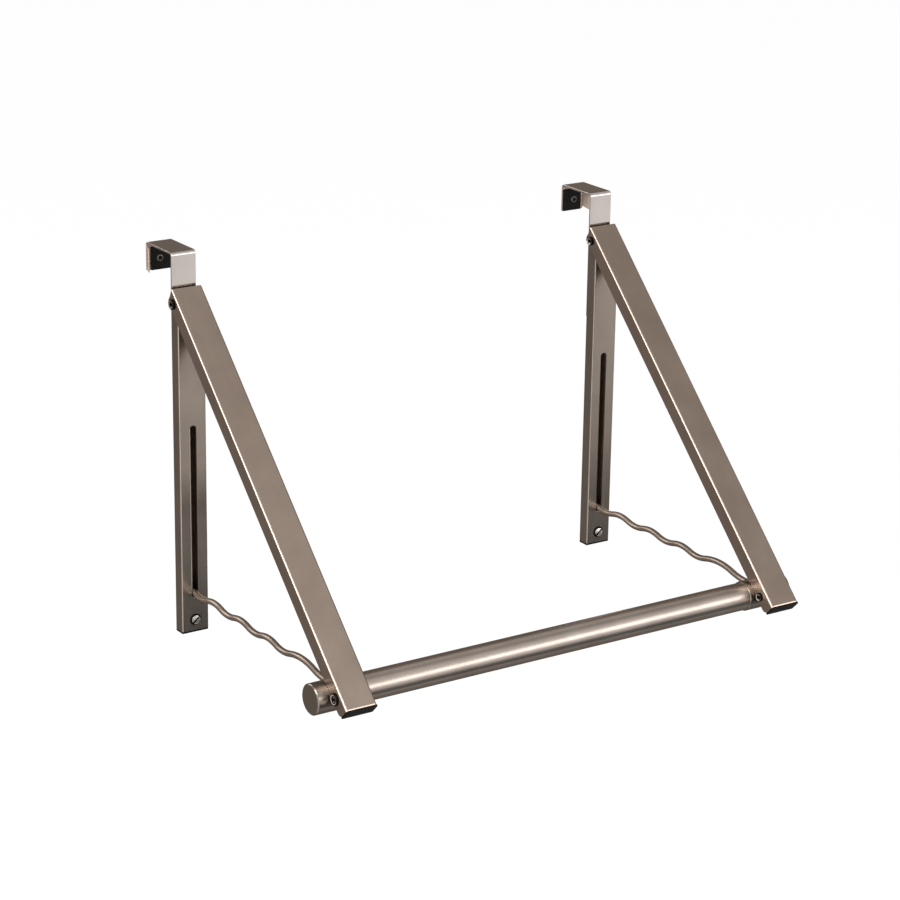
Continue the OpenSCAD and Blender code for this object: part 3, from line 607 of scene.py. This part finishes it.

# %% [markdown]
# The tube stands upright, the arm leans out by its opening angle, and the rod lies across. The uprights
# and the end fittings are toned darker, a painted shade. The rod is a little paler than the uprights,
# and the wire is the roughest of them.

# %% Make the bronze plating
OPEN = radians(45.4)
UPRIGHT, LEANING, ACROSS = (0, 0, 0), (OPEN, 0, 0), (0, pi / 2, 0)
# The upright and fitting copies are toned darker as painted shade.
painted_shade_bronze_upright = brushed_metal("satin_bronze_plate_upright", UPRIGHT, "#A89C92", "#9A8F86", 0.24, 0.04)
bronze_slant = brushed_metal("satin_bronze_plate_arm", LEANING, "#BAA99C", "#AC9B8F", 0.24, 0.04)
bronze_across = brushed_metal("satin_bronze_plate_rod", ACROSS, "#BCB1A8", "#AEA39A", 0.30, 0.04)
painted_shade_bronze_fitting = brushed_metal("satin_bronze_plate_fitting", ACROSS, "#A69B92", "#988E85", 0.28, 0.04)
bronze_wire = brushed_metal("satin_bronze_wire", UPRIGHT, "#BBACA0", "#AC9D91", 0.32, 0.02)
bronzes = (painted_shade_bronze_upright, bronze_slant, bronze_across, painted_shade_bronze_fitting, bronze_wire)
print("bronze materials:", [material.name for material in bronzes])

# %% [markdown]
# ## Bright nickel on the hooks
# The hooks are flat steel strap with a bright nickel finish, close to a mirror. The strap is rolled
# before it is bent, so a very faint grain runs along it. Its colour is a pale silver. The screws
# are zinc plated, and their shaded parts and the eyelets are darker.

# %% Make the other metals
nickel = brushed_metal("bright_nickel_plate", UPRIGHT, "#DAD4CF", "#CFC8C2", 0.16, 0.04)
# A rougher, beige copy of the nickel that paints light on the hooks' rear legs.
painted_light_nickel = brushed_metal("satin_nickel_plate", UPRIGHT, "#D9C6BA", "#CFBCB0", 0.62, 0.04)
zinc = brushed_metal("zinc_plate", UPRIGHT, "#EDE8E1", "#D6D0C8", 0.28, 0.05)
dark_nickel = brushed_metal("dark_nickel_plate", UPRIGHT, "#6E6A66", "#625E5A", 0.35, 0.05)
# A near-black copy that paints shade on screw rims and dishes, slot floors, the rings round the slotted
# screws and the eyelets' holes.
painted_shade_steel = brushed_metal("dark_bronze_screw_steel", ACROSS, "#1F1C1A", "#181614", 0.45, 0.05)
print("other metals:", [material.name for material in (nickel, painted_light_nickel, zinc, dark_nickel, painted_shade_steel)])

# %% [markdown]
# ## Rubber and moulded plastic
# The hook pads and door pads are dull black rubber, the plugs and end blocks are moulded black
# plastic with a fine spark-eroded grain. Neither is a pure black: dust and wear lift the rubber to a
# dark grey. A grain of half a millimetre stands for the real one, which is finer. Both mirror less
# of the room than a smooth plastic does, so their specular level is low.

# %% Make the black materials
# The width of the dust's clouds, the grain's strength, how much both mirror, and how far the
# roughness sways.
DUST, GRAIN_STRENGTH, DULL = 12, 0.25, 0.15
POLISHED, WORN = 0.05, 0.08


def moulded(name, light, dark, rough, grain, depth):
    material, tree = new_material(name)
    place = add(tree, "ShaderNodeTexCoord").outputs["Object"]
    fine = add(tree, "ShaderNodeTexNoise",
               {"Vector": place, "Scale": 1 / mm(grain), "Detail": 2.0}).outputs["Fac"]
    cloud = add(tree, "ShaderNodeTexNoise",
                {"Vector": place, "Scale": 1 / mm(DUST), "Detail": 4.0}).outputs["Fac"]
    tone = ramp(tree, cloud, [(0.3, dark), (0.7, light)])
    relief = add(tree, "ShaderNodeBump", {"Height": fine, "Strength": GRAIN_STRENGTH,
                                          "Distance": mm(depth)}).outputs["Normal"]
    polish = add(tree, "ShaderNodeMapRange",
                 {"Value": cloud, "From Min": 0.3, "From Max": 0.7,
                  "To Min": rough - POLISHED, "To Max": rough + WORN}).outputs["Result"]
    shader = add(tree, "ShaderNodeBsdfPrincipled", {"Base Color": tone, "Roughness": polish,
                                                   "Specular IOR Level": DULL, "Normal": relief})
    add(tree, "ShaderNodeOutputMaterial", {"Surface": shader.outputs["BSDF"]})
    return material


rubber = moulded("black_rubber", "#191817", "#100F0F", 0.62, 0.6, 0.05)
plastic = moulded("black_moulded_nylon", "#171615", "#0F0E0E", 0.42, 0.5, 0.03)
print("black materials:", rubber.name, plastic.name)

# %% [markdown]
# ## Materials on the pieces
# A table says what each kind of piece wears. Pieces with two materials give both, in the order of
# their faces' numbers. Unchanged CAD nodes share their meshes with the frame, so they take
# the material on the object and not on the mesh.

# %% Give every piece its material
ZINC_AND_PAINTED_SHADE = (zinc, painted_shade_steel)
# Zinc, then the near-black painted shade.
WEARS = {
    "upright_eased": painted_shade_bronze_upright, "arm_eased": bronze_slant, "rod_end_eased": painted_shade_bronze_fitting,
    "rod": bronze_across, "wavy_wire": bronze_wire, "hook_eased": (nickel, painted_light_nickel),
    "hook_pad_eased": rubber, "door_pad_eased": rubber,
    "upright_plug_eased": plastic, "end_block_eased": plastic,
    "pivot_screw": ZINC_AND_PAINTED_SHADE, "brace_screw": ZINC_AND_PAINTED_SHADE,
    "pivot_barrel": ZINC_AND_PAINTED_SHADE, "brace_barrel": ZINC_AND_PAINTED_SHADE,
    "slotted_screw": ZINC_AND_PAINTED_SHADE, "screw_collar": painted_shade_steel, "eyelet": (dark_nickel, painted_shade_steel),
    "rod_end_screws_eased": zinc, "strap_rivets": zinc, "pivot_bush": zinc, "pivot_washers": zinc,
}


def wear(piece, finish):
    """Clearing the slots would also clear the faces' material numbers, so slots are refilled."""
    finishes = finish if isinstance(finish, tuple) else (finish,)
    slots = piece.data.materials
    while len(slots) > len(finishes):
        slots.pop()
    for place, material in enumerate(finishes):
        if place < len(slots):
            slots[place] = material
        else:
            slots.append(material)


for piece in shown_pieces():
    part = piece.name.removeprefix("left_").removeprefix("right_")
    if "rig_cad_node" in piece:
        for socket in piece.material_slots:
            socket.link = "OBJECT"
            socket.material = WEARS[part]
    else:
        wear(piece, WEARS[part])

# %% [markdown]
# ## The studio
# The rack hangs as if from a door of the usual height, so the floor lies far below. A pale floor and
# a white room make the background. The floor glows a little to the camera, so that it meets the room
# without an edge, and it is left out of reflections, where it would hide the lower half of the room.

# %% Lay the floor
FLOOR_Z = -2.03
FLOOR_HALF = 30.0
FLOOR_GLOW = 0.62
bm = bmesh.new()
bmesh.ops.create_grid(bm, x_segments=1, y_segments=1, size=FLOOR_HALF)
bmesh.ops.translate(bm, verts=bm.verts, vec=(0, 0, FLOOR_Z))
mesh = bpy.data.meshes.new("studio_floor")
bm.to_mesh(mesh)
bm.free()
floor = bpy.data.objects.new("studio_floor", mesh)
bpy.context.collection.objects.link(floor)
floor.visible_glossy = False


def seen_rays(tree, kinds):
    """1 for the named kinds of ray, otherwise 0."""
    path = add(tree, "ShaderNodeLightPath")
    total = path.outputs[kinds[0]]
    for kind in kinds[1:]:
        both = add(tree, "ShaderNodeMath", {0: total, 1: path.outputs[kind]}, operation="MAXIMUM")
        total = both.outputs[0]
    return total


material, tree = new_material("pale_studio_floor")
matt = add(tree, "ShaderNodeBsdfDiffuse", {"Color": colour("#E8E8E8")}).outputs["BSDF"]
glow = add(tree, "ShaderNodeEmission",
           {"Color": colour("#FFFFFF"), "Strength": FLOOR_GLOW}).outputs["Emission"]
both = add(tree, "ShaderNodeAddShader", {0: matt, 1: glow}).outputs["Shader"]
camera_ray = seen_rays(tree, ["Is Camera Ray", "Is Transmission Ray"])
seen = add(tree, "ShaderNodeMixShader", {0: camera_ray, 1: matt, 2: both}).outputs["Shader"]
add(tree, "ShaderNodeOutputMaterial", {"Surface": seen})
wear(floor, material)
print("floor at", FLOOR_Z, "m")

# %% [markdown]
# The room looks white to the camera, but it sheds less light than that on the rack, so that the lamps
# shape it. A metal shows little but what it mirrors, and in a plain white room it would look flat.
# To reflections the room is therefore drawn in tones: bright in front, which the hooks' straps
# mirror, darker towards the back, which their tops mirror, and darker again near the ground.

# %% Paint the room
TOWARD = (-0.5, -1.0, 0.0)
ROOM_TONES = [(0.1, "#746A62"), (0.2, "#8A837C"), (0.32, "#8E8882"), (0.47, "#A39F9B"),
              (0.52, "#BFBCB9"), (0.6, "#F6F5F4"), (0.76, "#E8E5E3"), (1.0, "#F4F4F4")]
ROOM_LIGHT, GROUND_LIGHT = 0.45, 0.75


def background(tree, tone, strength):
    return add(tree, "ShaderNodeBackground", {"Color": tone, "Strength": strength}).outputs["Background"]


world = bpy.data.worlds.new("white_room")
bpy.context.scene.world = world
world.use_nodes = True
tree = world.node_tree
tree.nodes.clear()
way = add(tree, "ShaderNodeTexCoord").outputs["Generated"]
toward = add(tree, "ShaderNodeVectorMath", {0: way, 1: TOWARD},
             operation="DOT_PRODUCT").outputs["Value"]
share = add(tree, "ShaderNodeMapRange",
            {"Value": toward, "From Min": -1.1, "From Max": 1.1}).outputs["Result"]
shaded = ramp(tree, share, ROOM_TONES)
height = add(tree, "ShaderNodeSeparateXYZ", {"Vector": way}).outputs["Z"]
below = add(tree, "ShaderNodeMapRange", {"Value": height, "From Min": -0.8, "From Max": -0.4,
                                         "To Min": GROUND_LIGHT, "To Max": 1.0}).outputs["Result"]
shaded = add(tree, "ShaderNodeVectorMath", {0: shaded, "Scale": below}, operation="SCALE").outputs["Vector"]
camera_ray = seen_rays(tree, ["Is Camera Ray", "Is Transmission Ray"])
glossy_ray = seen_rays(tree, ["Is Glossy Ray"])
white = background(tree, colour("#FFFFFF"), 1.0)
soft_white = background(tree, colour("#FFFFFF"), ROOM_LIGHT)
mirrored = background(tree, shaded, 1.0)
plain = add(tree, "ShaderNodeMixShader", {0: camera_ray, 1: soft_white, 2: white}).outputs["Shader"]
seen = add(tree, "ShaderNodeMixShader", {0: glossy_ray, 1: plain, 2: mirrored}).outputs["Shader"]
add(tree, "ShaderNodeOutputWorld", {"Surface": seen})
print("room:", len(ROOM_TONES), "tones")

# %% [markdown]
# ## Lamps
# Six soft boxes light the rack. A large one stands above and in front. A weak one low on the left
# lights the uprights' corners. One high on the left is mirrored only by the rounded edges of the
# arms, as the bright lines of the photo. A strip in front on the right draws the long bright band
# along the middle of the rod. Two weak ones behind lift the braces' wire and the rod's upper side.

# %% Place the lamps
CENTRE = (0, -0.15, -0.17)
# Each lamp's place in metres, its width and height, and its power in watts.
LAMPS = {
    "key_soft_box": ((-0.5, -2.2, 2.2), (1.2, 1.2), 21),
    "corner_fill": ((-1.7, -2.2, -0.8), (1.0, 1.4), 8),
    "edge_light": ((-2.03, -0.51, 1.41), (1.2, 1.2), 34),
    "rod_strip": ((1.33, -2.25, 0.25), (1.6, 0.9), 12),
    "wire_light": ((-1.3, 1.9, 0.8), (0.9, 1.5), 9),
    "rod_top_light": ((1.33, 0.35, 1.85), (1.2, 0.8), 1.4),
}
for name, (place, size, power) in LAMPS.items():
    data = bpy.data.lights.new(name, "AREA")
    data.shape, data.size, data.size_y, data.energy = "RECTANGLE", size[0], size[1], power
    lamp = bpy.data.objects.new(name, data)
    bpy.context.collection.objects.link(lamp)
    lamp.location = place
    lamp.rotation_euler = (Vector(CENTRE) - Vector(place)).to_track_quat("-Z", "Y").to_euler()
print("lamps:", len(LAMPS))

# %% [markdown]
# A dark grey card hangs low in front on the right. Only reflections see it. It gives the lower ends
# of the uprights their darker tone, as in the photo.

# %% Hang the dark card
CARD_SIZE, CARD_PLACE, CARD_TONE = (2.2, 0.9), (0.7, -1.0, -1.1), "#5A5D5E"
bm = bmesh.new()
bmesh.ops.create_grid(bm, x_segments=1, y_segments=1, size=0.5)
bmesh.ops.rotate(bm, verts=bm.verts, cent=(0, 0, 0), matrix=Matrix.Rotation(pi / 2, 3, "X"))
bmesh.ops.scale(bm, verts=bm.verts, vec=(CARD_SIZE[0], 1, CARD_SIZE[1]))
bmesh.ops.translate(bm, verts=bm.verts, vec=CARD_PLACE)
mesh = bpy.data.meshes.new("dark_card")
bm.to_mesh(mesh)
bm.free()
card = bpy.data.objects.new("dark_card", mesh)
bpy.context.collection.objects.link(card)
card.visible_camera = card.visible_diffuse = card.visible_transmission = card.visible_shadow = False
material, tree = new_material("dark_card")
glow = add(tree, "ShaderNodeEmission", {"Color": colour(CARD_TONE), "Strength": 1.0}).outputs["Emission"]
add(tree, "ShaderNodeOutputMaterial", {"Surface": glow})
wear(card, material)
print("card:", CARD_SIZE, "m")

# %% [markdown]
# ## The camera
# The photograph was taken from the left and a little above, through a long lens. The camera's place
# and lens were found by matching the edges of both brackets and the rod with the photograph.

# %% Set the camera
CAMERA_PLACE = (-1361.3, -2134.4, 619.6)
AZIMUTH, ELEVATION, ROLL = radians(-33.616), radians(18.283), radians(0.881)
FOCAL_PIXELS, FRAME_PIXELS, SENSOR = 2866.8, 900, 36.0
back = Vector((sin(AZIMUTH) * cos(ELEVATION), -cos(AZIMUTH) * cos(ELEVATION), sin(ELEVATION)))
level = Vector((cos(AZIMUTH), sin(AZIMUTH), 0))
upward = back.cross(level)
right = level * cos(ROLL) + upward * sin(ROLL)
up = upward * cos(ROLL) - level * sin(ROLL)
data = bpy.data.cameras.new("camera")
data.sensor_width, data.lens = SENSOR, SENSOR * FOCAL_PIXELS / FRAME_PIXELS
data.clip_start, data.clip_end = 0.1, 100
camera = bpy.data.objects.new("camera", data)
bpy.context.collection.objects.link(camera)
turned = Matrix((right, up, back)).transposed().to_4x4()
camera.matrix_world = Matrix.Translation(mm(*CAMERA_PLACE)) @ turned
scene = bpy.context.scene
scene.camera = camera
scene.view_settings.view_transform = "Standard"
print("lens", round(data.lens, 2), "mm")
